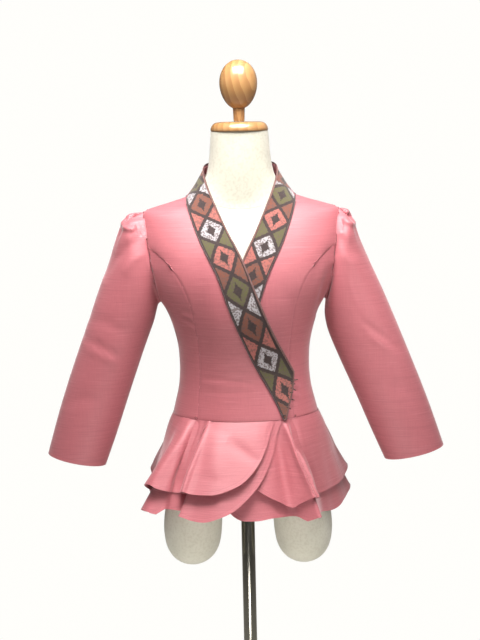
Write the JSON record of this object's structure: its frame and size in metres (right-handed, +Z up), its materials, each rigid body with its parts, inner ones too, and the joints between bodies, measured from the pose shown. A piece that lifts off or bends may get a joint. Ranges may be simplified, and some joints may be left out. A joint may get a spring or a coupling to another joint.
{
  "type": "silk blouse on a dress form",
  "caption": "Fitted wrap-front silk blouse with a patterned neck band, pleated sleeve heads and a two-tier flounced peplum, on a limbless dress form with a pole stand.",
  "frame": {"origin": "centre of the stand's foot, on the floor", "axes": "+Z up; the blouse faces -Y; the wearer's left is at +X"},
  "size_m": [0.74, 0.347, 1.5486],
  "materials": {
    "silk": "slubbed silk with a soft sheen",
    "brocade": "woven pattern strip",
    "form_cloth": "matt cover",
    "wood": "varnished",
    "chrome": "polished"
  },
  "bodies": {
    "root": {"front_right_centre": "silk", "front_left_centre": "silk", "front_right_side": "silk", "front_left_side": "silk", "back": "silk", "collar_stand": "silk", "sleeve_right": "silk", "sleeve_left": "silk", "peplum_upper_right": "silk", "peplum_upper_left": "silk", "peplum_upper_back": "silk", "peplum_lower_right": "silk", "peplum_lower_left": "silk", "peplum_lower_back": "silk", "neck_band_right": "brocade", "neck_band_left": "brocade", "form_torso": "form_cloth", "neck_cap": "wood", "finial": "wood", "stand_pole": "chrome", "stand_base": "chrome"}
  },
  "joints": []
}
